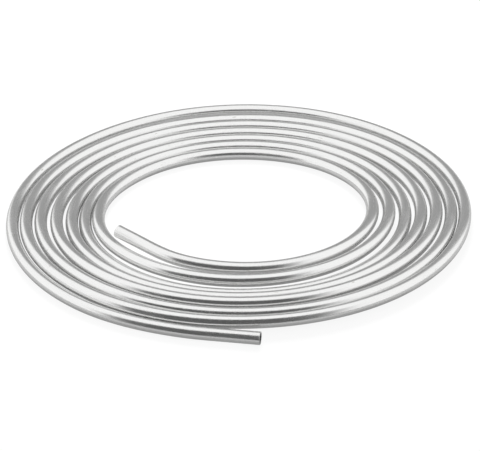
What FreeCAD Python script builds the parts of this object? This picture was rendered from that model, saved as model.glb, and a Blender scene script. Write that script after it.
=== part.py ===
"""A loose coil of bright aluminium tube, a little over seven turns, lying flat, both ends cut square.

The coil is one length of tube.  Its centre line is laid out from stations, eight to a turn.  On each
side of the coil the innermost radius is given, and every further turn adds one tube diameter and a
gap.  Across the front the turns are sprung off the floor by different amounts.  The stations are
joined by pairs of tangent arcs with a straight run at each end, and the tube's outer and inner
circles are turned about each arc's own axis, which gives one exact hollow solid.
"""
import math
import os

import FreeCAD, Part

V = FreeCAD.Vector

# --- the stock (millimetres) ---
TUBE_OD = 9.525
WALL = 0.889

# --- the coil in plan: innermost radius on each side, then the gap before each further turn ---
FRONT_RADIUS, FRONT_GAPS = 95.5, [2.0, 1.0, 1.0, 1.0, 2.0, 0.5]
FRONT_RIGHT_RADIUS, FRONT_RIGHT_GAPS = 99.0, [2.0, 3.5, 0.0, 1.0, 3.0, 0.5]
RIGHT_RADIUS, RIGHT_GAPS = 101.0, [3.0, 2.5, 2.5, 2.0, 1.5, 1.0]
BACK_RADIUS, BACK_GAPS = 99.5, [2.5, 1.0, 2.5, 2.5, 1.0, 8.0]
LEFT_RADIUS, LEFT_GAPS = 106.0, [0.5, 0.5, 2.0, 2.5, 1.5, 1.0]
FRONT_LEFT_RADIUS, FRONT_LEFT_GAPS = 105.5, [1.0, 1.5, 1.0, 1.0, 1.5, 0.5]

# --- how far each turn is sprung off the floor where it crosses the front, innermost first ---
FRONT_LIFTS = [10.0, 6.5, 0.5, 4.0, 6.5, 4.5, 4.0, 0.0]
# The share of that lift left on the other sides: it is full from front left to front.
LEFT_SHARE = 0.4
FRONT_RIGHT_SHARE = 0.75
RIGHT_SHARE = 0.4
BACK_RIGHT_SHARE = 0.1

# --- the two ends: where the tube is cut, where its bending stops (BEND) and where it begins to ease
# --- (EASE).  Angle, how far outside the innermost front turn (inner end) or outside the place of the
# --- next front turn (outer end), and lift.
INNER_CUT = (207.5, 5.5, 16.0)
INNER_BEND = (217.0, 0.0, 14.0)
INNER_EASE = (243.0, -0.2, 12.0)
OUTER_EASE = (256.0, -0.7, 0.0)
OUTER_BEND = (264.4, 0.9, 0.0)
OUTER_CUT = (274.2, 6.8, 0.0)

SAME = 1e-9  # smaller than any real difference between two directions


def radii(first, gaps):
    """Centre-line radius of each turn on one side: one tube and one gap further out each time."""
    found = [first]
    for gap in gaps:
        found.append(found[-1] + TUBE_OD + gap)
    return found


def end_stations(base, *ends):
    """Angle, radius and lift of stations whose radius is given from a base radius."""
    return [(angle, base + outside, lift) for angle, outside, lift in ends]


def stations():
    """Angle turned, radius and lift of the centre line from the inner cut to the outer cut."""
    front = radii(FRONT_RADIUS, FRONT_GAPS)
    front_right = radii(FRONT_RIGHT_RADIUS, FRONT_RIGHT_GAPS)
    right = radii(RIGHT_RADIUS, RIGHT_GAPS)
    back = radii(BACK_RADIUS, BACK_GAPS)
    left = radii(LEFT_RADIUS, LEFT_GAPS)
    front_left = radii(FRONT_LEFT_RADIUS, FRONT_LEFT_GAPS)
    found = end_stations(front[0], INNER_CUT, INNER_BEND, INNER_EASE)
    for turn, (lift, next_lift) in enumerate(zip(FRONT_LIFTS, FRONT_LIFTS[1:])):
        begun = 360.0 * turn
        back_right = (right[turn] + back[turn]) / 2.0
        back_left = (back[turn] + left[turn]) / 2.0
        found.append((begun + 270.0, front[turn], lift))
        found.append((begun + 315.0, front_right[turn], lift * FRONT_RIGHT_SHARE))
        found.append((begun + 360.0, right[turn], lift * RIGHT_SHARE))
        found.append((begun + 405.0, back_right, lift * BACK_RIGHT_SHARE))
        found.append((begun + 450.0, back[turn], 0.0))
        found.append((begun + 495.0, back_left, 0.0))
        found.append((begun + 540.0, left[turn], next_lift * LEFT_SHARE))
        found.append((begun + 585.0, front_left[turn], next_lift))
    return found + end_stations(front[-1] + TUBE_OD, OUTER_EASE, OUTER_BEND, OUTER_CUT)


def point(station):
    """The centre-line point of a station, for a tube that lies on the floor where its lift is 0."""
    angle, radius, lift = station
    turned = math.radians(angle)
    return V(radius * math.cos(turned), radius * math.sin(turned), TUBE_OD / 2.0 + lift)


def circle_tangent(before, here, after):
    """Direction at the middle one of three points of the circle through them."""
    came = here - before
    goes = after - here
    way = came * (goes.Length / came.Length) + goes * (came.Length / goes.Length)
    return way.normalize()


def directions(points):
    """Direction of travel at each bend point; level wherever the tube lies on the floor."""
    ways = [(points[1] - points[0]).normalize()]
    for before, here, after in zip(points[1:], points[2:], points[3:-1]):
        way = circle_tangent(before, here, after)
        if here.z <= TUBE_OD / 2.0:
            way.z = 0.0
        ways.append(way.normalize())
    ways.append((points[-1] - points[-2]).normalize())
    return ways


def arcs_meet(p0, t0, p1, t1):
    """Where two tangent arcs from p0 along t0 to p1 along t1 meet, with equal tangent lengths."""
    chord = p1 - p0
    square = 2.0 * (1.0 - t0.dot(t1))
    linear = 2.0 * chord.dot(t0 + t1)
    constant = -chord.dot(chord)
    if square < SAME:
        reach = -constant / linear
    else:
        reach = (math.sqrt(linear * linear - 4.0 * square * constant) - linear) / (2.0 * square)
    return (p0 + t0 * reach + p1 - t1 * reach) * 0.5


def arc_between(start, way, end):
    """Centre, axis and sweep in degrees of the arc that leaves start along way and ends at end."""
    chord = end - start
    axis = way.cross(chord).normalize()
    inward = axis.cross(way)
    radius = chord.dot(chord) / (2.0 * chord.dot(inward))
    sweep = 2.0 * math.atan2(chord.dot(inward), chord.dot(way))
    return start + inward * radius, axis, math.degrees(sweep)


def annulus(edges):
    return Part.makeFace([Part.Wire(edge) for edge in edges], "Part::FaceMakerBullseye")


def build_tube():
    """The hollow tube, its centre-line length, its bend radii and its two cut ends."""
    points = [point(station) for station in stations()]
    ways = directions(points)
    bends = points[1:-1]
    edges = [Part.Edge(Part.Circle(points[0], ways[0], TUBE_OD / 2.0 - inset)) for inset in (0.0, WALL)]
    faces = [annulus(edges)]
    length = 0.0
    bend_radii = []

    def run_straight(run):
        for edge in edges:
            faces.append(edge.extrude(run))
            edge.translate(run)
        return run.Length

    length += run_straight(bends[0] - points[0])
    for p0, t0, p1, t1 in zip(bends, ways, bends[1:], ways[1:]):
        start, way = p0, t0
        for end in (arcs_meet(p0, t0, p1, t1), p1):
            centre, axis, sweep = arc_between(start, way, end)
            for edge in edges:
                faces.append(edge.revolve(centre, axis, sweep))
                edge.rotate(centre, axis, sweep)
            way = FreeCAD.Rotation(axis, sweep).multVec(way)
            bend_radii.append((start - centre).Length)
            length += math.radians(sweep) * bend_radii[-1]
            start = end
    length += run_straight(points[-1] - bends[-1])
    faces.append(annulus(edges))

    shell = Part.Shell([face for piece in faces for face in piece.Faces])
    shell.sewShape()
    solid = Part.Solid(shell)
    if solid.Volume < 0.0:
        solid.reverse()
    inner_run, outer_run = points[1] - points[0], points[-1] - points[-2]
    ends = {
        "inner end": (points[0], -ways[0], inner_run.Length),
        "outer end": (points[-1], ways[-1], outer_run.Length),
    }
    return solid, length, bend_radii, ends


def tidy(vector, places):
    return [round(value, places) for value in vector]


tube, length, bend_radii, ends = build_tube()

# stand the coil on the floor with the middle of its box over the origin
box = tube.optimalBoundingBox()
home = V(-(box.XMin + box.XMax) / 2.0, -(box.YMin + box.YMax) / 2.0, -box.ZMin)
tube.translate(home)

print("moved by", tidy(home, 3))
for name, (where, facing, run) in ends.items():
    print(name, tidy(where + home, 5), "facing", tidy(facing, 7), "straight for", round(run, 4))
section = math.pi * (TUBE_OD - WALL) * WALL
print("centre line", round(length, 1), "mm, bend radii", round(min(bend_radii), 1), "to", round(max(bend_radii), 1))
print("volume", round(tube.Volume, 1), "section times length", round(section * length, 1))
print("valid", tube.isValid(), "closed", tube.isClosed(), "faces", len(tube.Faces))
box = tube.optimalBoundingBox()
print("box", tidy((box.XMin, box.YMin, box.ZMin, box.XMax, box.YMax, box.ZMax), 2))

os.makedirs("parts", exist_ok=True)
tube.exportStep("parts/tube.step")
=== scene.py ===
# %% [markdown]
# # A coil of aluminium tube
#
# The object is one length of soft aluminium tube, wound a little over seven turns into a loose flat
# coil, with both ends cut square.  It lies on the floor.  There is only one piece, so the whole
# lesson is about three things: how a tube that is wound by hand wanders, how a thin bright wall is
# made as real geometry, and how bright drawn metal is lit.
#
# We work in metres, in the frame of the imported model: Z is up, and the floor is at Z = 0.

# %% Load the frame
import math

import bmesh
import bpy
from mathutils import Matrix, Vector


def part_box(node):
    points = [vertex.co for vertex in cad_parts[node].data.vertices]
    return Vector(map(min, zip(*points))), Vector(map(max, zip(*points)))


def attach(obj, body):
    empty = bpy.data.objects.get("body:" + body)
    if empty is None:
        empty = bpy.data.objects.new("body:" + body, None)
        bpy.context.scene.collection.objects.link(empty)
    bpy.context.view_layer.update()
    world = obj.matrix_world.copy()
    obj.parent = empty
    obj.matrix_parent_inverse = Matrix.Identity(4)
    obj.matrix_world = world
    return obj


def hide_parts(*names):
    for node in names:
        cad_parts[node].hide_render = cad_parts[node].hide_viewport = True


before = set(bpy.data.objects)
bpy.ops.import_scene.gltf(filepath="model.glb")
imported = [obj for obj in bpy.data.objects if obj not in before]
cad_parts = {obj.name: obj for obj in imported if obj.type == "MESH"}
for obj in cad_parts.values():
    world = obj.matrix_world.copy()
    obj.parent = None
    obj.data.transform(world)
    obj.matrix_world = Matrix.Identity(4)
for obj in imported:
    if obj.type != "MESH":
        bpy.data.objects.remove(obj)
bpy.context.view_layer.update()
MM = 0.001
low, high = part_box("tube")
print("the coil's box, in mm:", [round(v / MM, 2) for v in (*low, *high)])

# %% [markdown]
# ## The stock
#
# The tube is the common size with an outside diameter of 9.525 mm and a wall of 0.889 mm.  The places
# of the turns follow from the outside diameter, because a tube that is wound tight puts every turn one
# diameter further out than the last, and a loose one adds a small gap.

# %% The tube's own sizes
TUBE_OD = 9.525 * MM
WALL = 0.889 * MM
outside_radius = TUBE_OD / 2.0
bore_radius = outside_radius - WALL
print("outside radius", round(outside_radius / MM, 4), "mm, bore radius", round(bore_radius / MM, 4), "mm")

# %% [markdown]
# ## The path that the tube follows
#
# A coil could be drawn as a spiral with one formula, but a real one that was wound and let go is never
# that even.  On each side it has its own gaps between turns, and across the front some turns spring a
# few millimetres off the floor and ride over each other.  So we give the innermost radius and the gaps
# on six sides, and let a loop lay out eight stations a turn.  Each station is an angle, a radius and a
# lift.  These are the same numbers that the solid model is built from.

# %% Radii and gaps of the turns on each side
FRONT_RADIUS, FRONT_GAPS = 95.5 * MM, [2.0, 1.0, 1.0, 1.0, 2.0, 0.5]
FRONT_RIGHT_RADIUS, FRONT_RIGHT_GAPS = 99.0 * MM, [2.0, 3.5, 0.0, 1.0, 3.0, 0.5]
RIGHT_RADIUS, RIGHT_GAPS = 101.0 * MM, [3.0, 2.5, 2.5, 2.0, 1.5, 1.0]
BACK_RADIUS, BACK_GAPS = 99.5 * MM, [2.5, 1.0, 2.5, 2.5, 1.0, 8.0]
LEFT_RADIUS, LEFT_GAPS = 106.0 * MM, [0.5, 0.5, 2.0, 2.5, 1.5, 1.0]
FRONT_LEFT_RADIUS, FRONT_LEFT_GAPS = 105.5 * MM, [1.0, 1.5, 1.0, 1.0, 1.5, 0.5]


def radii(first, gaps):
    """Centre-line radius of each turn on one side: one tube and one gap further out each time."""
    found = [first]
    for gap in gaps:
        found.append(found[-1] + TUBE_OD + gap * MM)
    return found


print("turns at the front, in mm:", [round(r / MM, 1) for r in radii(FRONT_RADIUS, FRONT_GAPS)])

# %% Lifts, and the two cut ends
FRONT_LIFTS = [10.0, 6.5, 0.5, 4.0, 6.5, 4.5, 4.0, 0.0]
LEFT_SHARE, FRONT_RIGHT_SHARE, RIGHT_SHARE, BACK_RIGHT_SHARE = 0.4, 0.75, 0.4, 0.1
# each end's stations: an angle in degrees, how far outside the front turn there, and a lift, both in mm
INNER_CUT, INNER_BEND, INNER_EASE = (207.5, 5.5, 16.0), (217.0, 0.0, 14.0), (243.0, -0.2, 12.0)
OUTER_EASE, OUTER_BEND, OUTER_CUT = (256.0, -0.7, 0.0), (264.4, 0.9, 0.0), (274.2, 6.8, 0.0)


def point(angle, radius, lift):
    """A point of the centre line, for a tube that lies on the floor where its lift is 0."""
    turned = math.radians(angle)
    return Vector((radius * math.cos(turned), radius * math.sin(turned), outside_radius + lift))


def end_points(base, *ends):
    """Points near a cut end, whose radius is given from a base radius."""
    return [point(angle, base + outside * MM, lift * MM) for angle, outside, lift in ends]


print("lifts across the front, in mm:", FRONT_LIFTS)

# %% The stations, eight to a turn
def path_points():
    """The points of the centre line from one cut end to the other."""
    front, right = radii(FRONT_RADIUS, FRONT_GAPS), radii(RIGHT_RADIUS, RIGHT_GAPS)
    front_right = radii(FRONT_RIGHT_RADIUS, FRONT_RIGHT_GAPS)
    back, left = radii(BACK_RADIUS, BACK_GAPS), radii(LEFT_RADIUS, LEFT_GAPS)
    front_left = radii(FRONT_LEFT_RADIUS, FRONT_LEFT_GAPS)
    lifts = [lift * MM for lift in FRONT_LIFTS]
    found = end_points(front[0], INNER_CUT, INNER_BEND, INNER_EASE)
    for turn, (lift, next_lift) in enumerate(zip(lifts, lifts[1:])):
        back_right = (right[turn] + back[turn]) / 2.0
        back_left = (back[turn] + left[turn]) / 2.0
        found.append(point(270.0, front[turn], lift))
        found.append(point(315.0, front_right[turn], lift * FRONT_RIGHT_SHARE))
        found.append(point(0.0, right[turn], lift * RIGHT_SHARE))
        found.append(point(45.0, back_right, lift * BACK_RIGHT_SHARE))
        found.append(point(90.0, back[turn], 0.0))
        found.append(point(135.0, back_left, 0.0))
        found.append(point(180.0, left[turn], next_lift * LEFT_SHARE))
        found.append(point(225.0, front_left[turn], next_lift))
    return found + end_points(front[-1] + TUBE_OD, OUTER_EASE, OUTER_BEND, OUTER_CUT)


points = path_points()
print(len(points), "stations for", len(FRONT_LIFTS) - 1, "turns and two ends")

# %% [markdown]
# ## Making the path smooth
#
# Bending metal leaves no corners, so the path has to leave each station in the direction that it
# arrived.  The direction at a station is that of the circle through it and its two neighbours, level
# wherever the tube lies on the floor.  A Bezier curve with handles in those directions, each a third of
# the way along, follows an arc to within a few hundredths of a millimetre.  The two end runs are
# straight, as they are on a length of tube that was cut after it was wound.

# %% Direction of travel at each station
ON_THE_FLOOR = 0.001 * MM  # a lift below this is none


def circle_tangent(before, here, after):
    """Direction at the middle one of three points of the circle through them."""
    came, goes = here - before, after - here
    way = came * (goes.length / came.length) + goes * (came.length / goes.length)
    if here.z - outside_radius < ON_THE_FLOOR:
        way.z = 0.0
    return way.normalized()


def directions(points):
    """Direction of travel at every station; the two at each end share their straight run's."""
    inner_run, outer_run = points[1] - points[0], points[-1] - points[-2]
    middle = [circle_tangent(*three) for three in zip(points[1:], points[2:], points[3:-1])]
    first, last = inner_run.normalized(), outer_run.normalized()
    return [first, first, *middle, last, last]


ways = directions(points)
print("straight runs at the ends, in mm:", round((points[1] - points[0]).length / MM, 1),
      round((points[-1] - points[-2]).length / MM, 1))


# %% The path as a curve object
PATH_STEPS = 48  # points that the curve is drawn with between two stations


def handle_length(chord, way, next_way):
    """How far a Bezier handle reaches, for a stretch that turns from one direction to the next."""
    half_turn = way.angle(next_way) / 2.0
    return chord / (3.0 * math.cos(half_turn / 2.0) ** 2)


def path_curve(points, ways):
    """The stations as one open Bezier curve."""
    curve = bpy.data.curves.new("winding_path", "CURVE")
    curve.dimensions = "3D"
    curve.resolution_u = PATH_STEPS
    spline = curve.splines.new("BEZIER")
    spline.bezier_points.add(len(points) - 1)
    for knot, here, way in zip(spline.bezier_points, points, ways):
        knot.co = here
        knot.handle_left_type = knot.handle_right_type = "FREE"
        knot.handle_left, knot.handle_right = here - way * MM, here + way * MM
    for number in range(len(points) - 1):
        chord = (points[number + 1] - points[number]).length
        reach = handle_length(chord, ways[number], ways[number + 1])
        spline.bezier_points[number].handle_right = points[number] + ways[number] * reach
        spline.bezier_points[number + 1].handle_left = points[number + 1] - ways[number + 1] * reach
    made = bpy.data.objects.new("winding_path", curve)
    bpy.context.scene.collection.objects.link(made)
    return made


path = path_curve(points, ways)
path_length = path.data.splines[0].calc_length()
print("the tube is", round(path_length / MM, 1), "mm long,", round(path_length / TUBE_OD), "diameters")

# %% [markdown]
# ## Two middles
#
# The stations are measured from the middle of the coil's eye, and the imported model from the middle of
# its box.  The outer end sticks out and no two sides are alike, so these differ by a little under a
# millimetre.  We could copy that distance from the solid model, but measuring the path's own outline is
# safer, because it stays right when a size changes.

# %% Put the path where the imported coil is
middle = (low[0] + high[0]) / 2.0, (low[1] + high[1]) / 2.0


def outline_middle(course):
    """Middle of the box round a path, in plan, which is the tube's to within a tenth of a millimetre."""
    bpy.context.view_layer.update()
    shape = course.evaluated_get(bpy.context.evaluated_depsgraph_get()).to_mesh()
    across = [v.co.x for v in shape.vertices]
    along = [v.co.y for v in shape.vertices]
    course.to_mesh_clear()
    return (min(across) + max(across)) / 2.0, (min(along) + max(along)) / 2.0


drawn_middle = outline_middle(path)
eye_centre = Vector((middle[0] - drawn_middle[0], middle[1] - drawn_middle[1], 0.0))
path.data.transform(Matrix.Translation(eye_centre))
print("the eye's middle is", [round(v / MM, 2) for v in eye_centre], "mm from the origin")

# %% [markdown]
# ## The wall, drawn straight and then wound
#
# A hollow tube could be made by sweeping a circle along the path, but that gives only a skin, and the
# two cut ends need a real wall, a bore and a broken edge.  So we do what the mill does.  Geometry Nodes
# first make a straight tube: an outside wall, a bore, a flat cut face at each end and a tiny bevel
# where the saw's burr was taken off.  Every vertex then remembers where it was in the straight tube,
# and is moved to the same place along and around the path.  The memory is kept in an attribute named
# "straight", which lets the metal's draw lines run along the tube, round every turn.

# %% Sizes of the mesh
SIDES = 32             # flats round the tube
OUTSIDE_RINGS = 2000   # rings along the outside, one about every 3 mm
BORE_RINGS = 500       # the bore is only seen at its ends
EDGE_RINGS = 1         # a broken edge or a cut face is one band of faces
BROKEN_EDGE = 0.12 * MM
WELD = 0.005 * MM      # vertices nearer than this become one
print("outside:", SIDES * OUTSIDE_RINGS, "faces, bore:", SIDES * BORE_RINGS, "faces")


# %% Small helpers for node trees
def add(tree, kind, inputs=None, **settings):
    """A new node, with its settings and with values or links for its inputs."""
    node = tree.nodes.new(kind)
    for name, value in settings.items():
        setattr(node, name, value)
    for name, value in (inputs or {}).items():
        socket = node.inputs[name]
        if isinstance(value, bpy.types.NodeSocket):
            tree.links.new(value, socket)
        else:
            socket.default_value = value
    return node


def maths(tree, operation, first, second):
    """The result of a sum with two numbers."""
    return add(tree, "ShaderNodeMath", {0: first, 1: second}, operation=operation).outputs[0]


def vector_maths(tree, operation, first, second):
    """The result of a sum with vectors; for "SCALE" the second is a number."""
    node = add(tree, "ShaderNodeVectorMath", {0: first}, operation=operation)
    socket = node.inputs["Scale" if operation == "SCALE" else 1]
    if isinstance(second, bpy.types.NodeSocket):
        tree.links.new(second, socket)
    else:
        socket.default_value = second
    return node.outputs[0]


# %% The straight tube as a node tree
TUBE_INPUTS = {
    "Outside Radius": "NodeSocketFloat", "Wall": "NodeSocketFloat", "Broken Edge": "NodeSocketFloat",
    "Sides": "NodeSocketInt", "Outside Rings": "NodeSocketInt", "Bore Rings": "NodeSocketInt",
    "Metal": "NodeSocketMaterial",
}


def sleeve(tree, sides, rings, low_radius, high_radius, low_end, high_end):
    """An open cone or cylinder round the Z axis, from one height to another."""
    depth = maths(tree, "SUBTRACT", high_end, low_end)
    cone = add(tree, "GeometryNodeMeshCone", {
        "Vertices": sides, "Side Segments": rings, "Radius Top": high_radius,
        "Radius Bottom": low_radius, "Depth": depth}, fill_type="NONE")
    rise = add(tree, "ShaderNodeCombineXYZ", {"Z": low_end}).outputs[0]
    return add(tree, "GeometryNodeTransform", {
        "Geometry": cone.outputs["Mesh"], "Translation": rise}).outputs[0]


def straight_tube(tree, sizes, length):
    """Joined and welded walls of a straight tube that starts at Z = 0."""
    outside, edge = sizes["Outside Radius"], sizes["Broken Edge"]
    bore = maths(tree, "SUBTRACT", outside, sizes["Wall"])
    outside_face = maths(tree, "SUBTRACT", outside, edge)
    bore_face = maths(tree, "ADD", bore, edge)
    far_edge = maths(tree, "SUBTRACT", length, edge)
    sides = sizes["Sides"]
    walls = [
        sleeve(tree, sides, sizes["Outside Rings"], outside, outside, edge, far_edge),
        sleeve(tree, sides, sizes["Bore Rings"], bore, bore, edge, far_edge),
    ]
    for face, mouth in ((0.0, edge), (length, far_edge)):
        walls.append(sleeve(tree, sides, EDGE_RINGS, outside_face, outside, face, mouth))
        walls.append(sleeve(tree, sides, EDGE_RINGS, bore_face, bore, face, mouth))
        walls.append(sleeve(tree, sides, EDGE_RINGS, bore_face, outside_face, face, face))
    joined = add(tree, "GeometryNodeJoinGeometry")
    for wall in walls:
        tree.links.new(wall, joined.inputs[0])
    return add(tree, "GeometryNodeMergeByDistance", {
        "Geometry": joined.outputs[0], "Distance": WELD}).outputs[0]


def winding_tree():
    """Geometry Nodes that turn a path into a tube wound along it."""
    tree = bpy.data.node_groups.new("wound_tube", "GeometryNodeTree")
    tree.interface.new_socket("Path", in_out="INPUT", socket_type="NodeSocketGeometry")
    for name, kind in TUBE_INPUTS.items():
        tree.interface.new_socket(name, in_out="INPUT", socket_type=kind)
    tree.interface.new_socket("Tube", in_out="OUTPUT", socket_type="NodeSocketGeometry")
    given = add(tree, "NodeGroupInput")
    course = given.outputs["Path"]
    length = add(tree, "GeometryNodeCurveLength", {"Curve": course}).outputs[0]
    straight = straight_tube(tree, given.outputs, length)
    position = add(tree, "GeometryNodeInputPosition").outputs[0]
    kept = add(tree, "GeometryNodeStoreNamedAttribute", {
        "Geometry": straight, "Name": "straight", "Value": position},
        data_type="FLOAT_VECTOR", domain="POINT").outputs[0]

    place = add(tree, "ShaderNodeSeparateXYZ", {0: position}).outputs
    on_path = add(tree, "GeometryNodeSampleCurve", {"Curves": course, "Length": place["Z"]}, mode="LENGTH")
    forward, outward = on_path.outputs["Tangent"], on_path.outputs["Normal"]
    sideways = vector_maths(tree, "CROSS_PRODUCT", forward, outward)
    offset = vector_maths(tree, "ADD", vector_maths(tree, "SCALE", outward, place["X"]),
                          vector_maths(tree, "SCALE", sideways, place["Y"]))
    wound = vector_maths(tree, "ADD", on_path.outputs["Position"], offset)
    moved = add(tree, "GeometryNodeSetPosition", {"Geometry": kept, "Position": wound}).outputs[0]
    smooth = add(tree, "GeometryNodeSetShadeSmooth", {"Geometry": moved}).outputs[0]
    real = add(tree, "GeometryNodeRealizeInstances", {"Geometry": smooth}).outputs[0]
    metal = add(tree, "GeometryNodeSetMaterial", {"Geometry": real, "Material": given.outputs["Metal"]})
    result = add(tree, "NodeGroupOutput")
    tree.links.new(metal.outputs[0], result.inputs[0])
    return tree


tree = winding_tree()
print("the tree has", len(tree.nodes), "nodes and", len(TUBE_INPUTS), "named sizes")

# %% [markdown]
# ## Bright drawn aluminium
#
# Tube is pulled through a die, which leaves it almost as bright as a mirror, with faint lines along
# its length.  A picture of metal could be pasted on, but it would stretch round the turns.  Instead
# the draw lines are noise that is squeezed across the tube and stretched along it, read from the
# "straight" attribute.  They change only the roughness and a very shallow bump.  Handling adds softer
# cloudy patches where the oxide is a little duller, and here and there a small scuff that is greyer.
# Bending adds a slow ripple.

# %% The finish
METAL_COLOUR, SCUFF_COLOUR = (0.80, 0.80, 0.795, 1.0), (0.52, 0.51, 0.48, 1.0)
# how wide round the tube, how long along it, and how finely broken up
DRAW_LINES, HANDLING = (0.5 * MM, 70.0 * MM, 3.0), (6.0 * MM, 25.0 * MM, 4.0)
RIPPLE, SCUFFS = (9.0 * MM, 12.0 * MM, 1.0), (2.2 * MM, 6.0 * MM, 2.0)
BRIGHT, DULL_LINES, CLOUD_DULLS_BY = 0.20, 0.25, 0.09  # roughness
LINE_DEPTH, RIPPLE_DEPTH = 0.02 * MM, 0.05 * MM
LINE_STRENGTH, RIPPLE_STRENGTH = 0.12, 0.5
MIX_FIRST_COLOUR, MIX_SECOND_COLOUR, MIXED_COLOUR = 6, 7, 2  # a Mix node's colour sockets


def stretched_noise(tree, place, across, along, detail):
    """Noise with patches about `across` wide round the tube and `along` long, in metres."""
    scaled = vector_maths(tree, "MULTIPLY", place, (1.0 / across, 1.0 / across, 1.0 / along))
    noise = add(tree, "ShaderNodeTexNoise", {"Vector": scaled, "Scale": 1.0, "Detail": detail})
    return noise.outputs["Fac"]


def stretch_range(tree, value, from_low, from_high, to_low, to_high):
    """A value moved from one range to another, and held inside it."""
    return add(tree, "ShaderNodeMapRange", {
        "Value": value, "From Min": from_low, "From Max": from_high,
        "To Min": to_low, "To Max": to_high}).outputs[0]


def scuffed_colour(tree, place):
    """The metal's colour, greyer in the few spots where the noise is highest."""
    spots = stretch_range(tree, stretched_noise(tree, place, *SCUFFS), 0.70, 0.80, 0.0, 1.0)
    mix = add(tree, "ShaderNodeMix", {
        0: spots, MIX_FIRST_COLOUR: METAL_COLOUR, MIX_SECOND_COLOUR: SCUFF_COLOUR}, data_type="RGBA")
    return mix.outputs[MIXED_COLOUR]


def drawn_relief(tree, draw_lines, ripple):
    """The surface direction, disturbed by the fine draw lines and the slow ripple."""
    fine = add(tree, "ShaderNodeBump", {
        "Height": draw_lines, "Strength": LINE_STRENGTH, "Distance": LINE_DEPTH})
    soft = add(tree, "ShaderNodeBump", {
        "Height": ripple, "Strength": RIPPLE_STRENGTH, "Distance": RIPPLE_DEPTH,
        "Normal": fine.outputs[0]})
    return soft.outputs[0]


def bright_drawn_aluminium():
    """Bright metal with draw lines, duller clouds, small scuffs and a slow ripple."""
    made = bpy.data.materials.new("bright_drawn_aluminium")
    made.use_nodes = True
    tree = made.node_tree
    shader = tree.nodes["Principled BSDF"]
    shader.inputs["Metallic"].default_value = 1.0
    place = add(tree, "ShaderNodeAttribute", attribute_name="straight").outputs["Vector"]
    draw_lines = stretched_noise(tree, place, *DRAW_LINES)
    lines = stretch_range(tree, draw_lines, 0.3, 0.7, BRIGHT, DULL_LINES)
    handling = stretched_noise(tree, place, *HANDLING)
    clouds = stretch_range(tree, handling, 0.45, 0.75, 0.0, CLOUD_DULLS_BY)
    relief = drawn_relief(tree, draw_lines, stretched_noise(tree, place, *RIPPLE))
    tree.links.new(maths(tree, "ADD", lines, clouds), shader.inputs["Roughness"])
    tree.links.new(scuffed_colour(tree, place), shader.inputs["Base Color"])
    tree.links.new(relief, shader.inputs["Normal"])
    return made


metal = bright_drawn_aluminium()
print("finish:", metal.name)

# %% [markdown]
# ## Winding it
#
# The tree is put on the path as a modifier, and its sizes are given by each socket's own identifier.
# The result is taken as a plain mesh, because a mesh can be measured, closed and exported as it is.
# The path has then done its work and is removed.

# %% Wind the tube
sizes = {
    "Outside Radius": outside_radius, "Wall": WALL, "Broken Edge": BROKEN_EDGE,
    "Sides": SIDES, "Outside Rings": OUTSIDE_RINGS, "Bore Rings": BORE_RINGS, "Metal": metal,
}
winder = path.modifiers.new("winder", "NODES")
winder.node_group = tree
for item in tree.interface.items_tree:
    if item.in_out == "INPUT" and item.name in sizes:
        winder[item.identifier] = sizes[item.name]


def plain_mesh(source, name, material):
    """The evaluated result of an object's modifiers, as a mesh object of its own."""
    bpy.context.view_layer.update()
    mesh = bpy.data.meshes.new_from_object(source.evaluated_get(bpy.context.evaluated_depsgraph_get()))
    mesh.name = name
    mesh.materials.clear()  # the path itself had no material, which left an empty slot
    mesh.materials.append(material)
    mesh.polygons.foreach_set("material_index", [0] * len(mesh.polygons))
    made = bpy.data.objects.new(name, mesh)
    bpy.context.scene.collection.objects.link(made)
    return made


tube = plain_mesh(path, "wound_tube", metal)
path.modifiers.remove(winder)
bpy.data.objects.remove(path)
print("wound tube:", len(tube.data.vertices), "vertices,", len(tube.data.polygons), "faces,",
      [m.name for m in tube.data.materials])

# %% [markdown]
# ## Closing and measuring the wall
#
# The cones that made the walls do not all face the same way, so the faces are turned outward once
# everything is welded.  Then we can measure it as a solid: its volume should be the wall's section
# times the length of the tube, a little less because the round is made of flats.


# %% Face outward, mark the sharp edges, and measure
SHARP = math.radians(30.0)


def close_wall(made):
    """Turn the faces outward, mark sharp edges, and give the open edges' number and the volume."""
    form = bmesh.new()
    form.from_mesh(made.data)
    bmesh.ops.recalc_face_normals(form, faces=form.faces)
    open_edges = sum(1 for edge in form.edges if not edge.is_manifold)
    for edge in form.edges:
        edge.smooth = edge.is_manifold and edge.calc_face_angle() < SHARP
    volume = form.calc_volume(signed=True)
    form.to_mesh(made.data)
    form.free()
    return open_edges, volume


open_edges, volume = close_wall(tube)
section = math.pi * (TUBE_OD - WALL) * WALL
print("open edges:", open_edges, " volume:", round(volume / MM**3), "mm3, section times length:",
      round(section * path_length / MM**3), "mm3")

# %% [markdown]
# ## Joining it to the frame
#
# Nothing on a coil moves, so the tube rides on the one body.  It stands for the solid model's tube,
# which stays hidden and keeps its place in collision tests.

# %% The tube stands for the solid model's tube
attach(tube, "root")
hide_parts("tube")
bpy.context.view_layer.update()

# %% [markdown]
# ## The studio
#
# A bright metal has no look of its own: it shows the room.  This one is a white tent, which gives the
# long white streaks, with a grey cloth at the back, which the left and right sides of the coil mirror
# as flat grey.  A dark card in front draws the dark line along the front turns.  The coil lies on a
# white light table that shines through its gaps.  The metal would mirror the bright table all along its
# underside, so a thin grey sheet lies on it: a dimmer copy of the floor, whose grey is painted shade of
# the floor near the coil and whose small glow is painted fill light, though the key light shades it too.
# A dark sheet in front of the coil is painted shade of the unlit floor there.  Only reflections meet the
# card and the two sheets.

# %% Helpers for the studio
MATT = 0.9  # roughness


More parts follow.
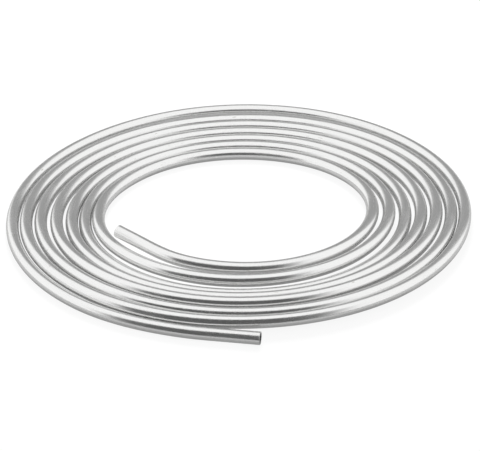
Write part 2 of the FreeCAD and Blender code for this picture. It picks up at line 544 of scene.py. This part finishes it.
def plain_material(name, value, glow):
    """An even neutral matt finish, which shines a little with its own light."""
    made = bpy.data.materials.new(name)
    made.use_nodes = True
    shader = made.node_tree.nodes["Principled BSDF"]
    shader.inputs["Base Color"].default_value = (value, value, value, 1.0)
    shader.inputs["Roughness"].default_value = MATT
    shader.inputs["Specular IOR Level"].default_value = 0.0
    shader.inputs["Emission Color"].default_value = (1.0, 1.0, 1.0, 1.0)
    shader.inputs["Emission Strength"].default_value = glow
    return made


def panel(name, corners, material):
    """A flat sheet through four corners, for the studio only."""
    mesh = bpy.data.meshes.new(name)
    mesh.from_pydata(corners, [], [(0, 1, 2, 3)])
    mesh.materials.append(material)
    made = bpy.data.objects.new(name, mesh)
    bpy.context.scene.collection.objects.link(made)
    return made


def level_sheet(name, size, height, material):
    """A square sheet round the origin, facing up."""
    half = size / 2.0
    corners = [(-half, -half, height), (half, -half, height), (half, half, height), (-half, half, height)]
    return panel(name, corners, material)


def only_in_reflections(made):
    """Hide a panel from everything but mirror-like surfaces."""
    made.visible_camera = made.visible_diffuse = made.visible_shadow = False


print("helpers for plain panels are ready")

# %% The light table, and the grey sheet on it
FLOOR_SIZE = 12.0
SHEET_HEIGHT = 0.02 * MM
table_white = plain_material("white_table", value=0.06, glow=0.90)
floor = level_sheet("light_table", FLOOR_SIZE, 0.0, table_white)
# painted shade and painted fill light: a dimmer copy of the floor that only the metal sees, grey for the
# floor's shade near the coil, glowing a little with no lamp behind it, and also shaded for real by the key
# light
floor_shade_and_glow = plain_material("reflected_floor_shade", value=0.16, glow=0.24)
grey_sheet = level_sheet("grey_sheet", FLOOR_SIZE, SHEET_HEIGHT, floor_shade_and_glow)
only_in_reflections(grey_sheet)
print(floor.name, FLOOR_SIZE, "m square, with", grey_sheet.name, "on it")

# %% [markdown]
# ## The dark card
#
# Bright metal on white gets its dark edges from a black card.  This one stands in front of the coil and
# leans towards it, with a dark sheet from its foot almost to the coil, which is painted shade of the unlit
# floor in front, so the dark line on each turn stays wide.  A plain card would end that line abruptly, so
# both grow lighter towards their sides.

# %% The dark card in front, and the painted floor shade between it and the coil
CARD_LEFT, CARD_RIGHT, CARD_FADE = -0.76, 0.44, 0.26
CARD_FOOT, CARD_TOP, CARD_HEIGHT = -0.48, -0.30, 0.46
# the dark sheet on the floor is painted shade of the unlit floor in front of the coil, seen only by the
# metal
PAINTED_SHADE_LEFT, PAINTED_SHADE_RIGHT, PAINTED_SHADE_SOFT = -0.58, 0.30, 0.22
PAINTED_SHADE_HEIGHT = 2.0 * SHEET_HEIGHT
PAINTED_SHADE_EDGE = low[1] - 0.035
DARK_VALUE, DARK_GLOW = 0.03, 0.045
CARD_EDGE_GLOW, PAINTED_SHADE_EDGE_GLOW = 1.0, 0.4


def fading_dark(name, left, right, fade, edge_glow):
    """A dark finish that grows lighter towards its left and right edges."""
    made = plain_material(name, value=DARK_VALUE, glow=DARK_GLOW)
    tree = made.node_tree
    place = add(tree, "ShaderNodeTexCoord").outputs["Object"]
    across = add(tree, "ShaderNodeSeparateXYZ", {0: place}).outputs["X"]
    from_left, from_right = maths(tree, "SUBTRACT", across, left), maths(tree, "SUBTRACT", right, across)
    inset = maths(tree, "MINIMUM", from_left, from_right)
    glow = add(tree, "ShaderNodeMapRange", {
        "Value": inset, "From Min": 0.0, "From Max": fade, "To Min": edge_glow, "To Max": DARK_GLOW},
        interpolation_type="SMOOTHSTEP").outputs[0]
    tree.links.new(glow, tree.nodes["Principled BSDF"].inputs["Emission Strength"])
    return made


card = panel("dark_card", [
    (CARD_LEFT, CARD_FOOT, 0.0), (CARD_RIGHT, CARD_FOOT, 0.0),
    (CARD_RIGHT, CARD_TOP, CARD_HEIGHT), (CARD_LEFT, CARD_TOP, CARD_HEIGHT)],
    fading_dark("dark_card", CARD_LEFT, CARD_RIGHT, CARD_FADE, CARD_EDGE_GLOW))
# painted shade: the unlit floor in front of the coil, as the metal sees it
painted_floor_shade = panel("painted_floor_shade", [
    (PAINTED_SHADE_LEFT, CARD_FOOT, PAINTED_SHADE_HEIGHT), (PAINTED_SHADE_RIGHT, CARD_FOOT, PAINTED_SHADE_HEIGHT),
    (PAINTED_SHADE_RIGHT, PAINTED_SHADE_EDGE, PAINTED_SHADE_HEIGHT), (PAINTED_SHADE_LEFT, PAINTED_SHADE_EDGE, PAINTED_SHADE_HEIGHT)],
    fading_dark("painted_floor_shade", PAINTED_SHADE_LEFT, PAINTED_SHADE_RIGHT, PAINTED_SHADE_SOFT, PAINTED_SHADE_EDGE_GLOW))
for made in (card, painted_floor_shade):
    only_in_reflections(made)
print("dark card", round(CARD_RIGHT - CARD_LEFT, 2), "m wide and", CARD_HEIGHT, "m high")

# %% [markdown]
# ## The tent
#
# Everything else that the metal mirrors is the white tent.  It could be a dome of cloth, but the world
# behind the scene does the same and costs nothing.  Its light is worked out from the direction alone:
# white, with one round patch of grey at the back, whose edge is soft.

# %% The tent round the table
TENT_GLOW, PATCH_GLOW = 1.12, 0.37
# in degrees: how far round from the back, counterclockwise from above, how far up the patch's middle is,
# half its width, and how far its edge fades
PATCH_TURN, PATCH_UP, PATCH_HALF_WIDTH, PATCH_FADE = -8.0, 12.0, 33.0, 6.0


def patch(tree, direction, turn, up, half_width, fade):
    """1 inside a round patch of the tent, 0 outside, with a soft edge."""
    turn, up = math.radians(turn), math.radians(up)
    aim = (-math.sin(turn) * math.cos(up), math.cos(turn) * math.cos(up), math.sin(up))
    toward = add(tree, "ShaderNodeVectorMath", {0: direction, 1: aim}, operation="DOT_PRODUCT")
    return add(tree, "ShaderNodeMapRange", {
        "Value": toward.outputs["Value"], "From Min": math.cos(math.radians(half_width + fade / 2.0)),
        "From Max": math.cos(math.radians(half_width - fade / 2.0))},
        interpolation_type="SMOOTHSTEP").outputs[0]


def tent():
    """The world as a white tent with a grey patch."""
    world = bpy.data.worlds.new("tent")
    world.use_nodes = True
    tree = world.node_tree
    direction = add(tree, "ShaderNodeTexCoord").outputs["Generated"]
    share = patch(tree, direction, PATCH_TURN, PATCH_UP, PATCH_HALF_WIDTH, PATCH_FADE)
    glow = add(tree, "ShaderNodeMix", {"Factor": share, "A": TENT_GLOW, "B": PATCH_GLOW}, data_type="FLOAT")
    tree.links.new(glow.outputs["Result"], tree.nodes["Background"].inputs["Strength"])
    tree.nodes["Background"].inputs["Color"].default_value = (1.0, 1.0, 1.0, 1.0)
    return world


bpy.context.scene.world = tent()
print("the tent glows at", TENT_GLOW)

# %% [markdown]
# ## The key light
#
# A tent lights everything evenly, so nothing would tie the coil to the table.  One large soft lamp high
# behind the coil lets it shade the table in front of it very faintly.  Neither the camera nor the metal
# sees the lamp.

# %% Key light
KEY_PLACE, KEY_SIZE, KEY_WATTS = Vector((0.0, 0.95, 1.0)), 0.6, 40.0


def key_light():
    """A square soft lamp that faces the middle of the table."""
    light = bpy.data.lights.new("key", "AREA")
    light.size = KEY_SIZE
    light.energy = KEY_WATTS
    made = bpy.data.objects.new("key", light)
    made.location = KEY_PLACE
    made.rotation_euler = (-KEY_PLACE).to_track_quat("-Z", "Y").to_euler()
    made.visible_camera = made.visible_glossy = False
    bpy.context.scene.collection.objects.link(made)
    return made


key = key_light()
print(key.name, "light", round(key.location.length, 2), "m away")

# %% [markdown]
# ## The camera
#
# A long lens from two metres away keeps the turns' ovals nearly true.  It looks down at 29.5 degrees
# and leans a degree and a half.  It is aimed at the middle of the coil's eye, on the floor, which the
# small shift then puts a little above the middle of the frame.

# %% Camera
SENSOR, LENS = 36.0, 210.6  # mm
CAMERA_ELEVATION, CAMERA_DISTANCE, CAMERA_LEAN = math.radians(29.5), 2.125, math.radians(-1.5)
EYE_LEFT, EYE_UP = 0.00208, 0.00896  # of the frame's width


def camera_at(target, elevation, distance, lean):
    """A camera in front of a point, which looks down at it and leans to one side."""
    lens = bpy.data.cameras.new("camera")
    lens.sensor_width = SENSOR
    lens.lens = LENS
    lens.shift_x, lens.shift_y = EYE_LEFT, -EYE_UP
    made = bpy.data.objects.new("camera", lens)
    bpy.context.scene.collection.objects.link(made)
    back = Vector((0.0, -math.cos(elevation), math.sin(elevation)))
    tilt = Matrix.Rotation(math.pi / 2.0 - elevation, 4, "X")
    place = Matrix.Translation(target + back * distance)
    made.matrix_world = place @ tilt @ Matrix.Rotation(lean, 4, "Z")
    return made


camera = camera_at(eye_centre, CAMERA_ELEVATION, CAMERA_DISTANCE, CAMERA_LEAN)
bpy.context.scene.camera = camera
bpy.context.scene.view_settings.view_transform = "Standard"
print("lens", round(LENS, 1), "mm")
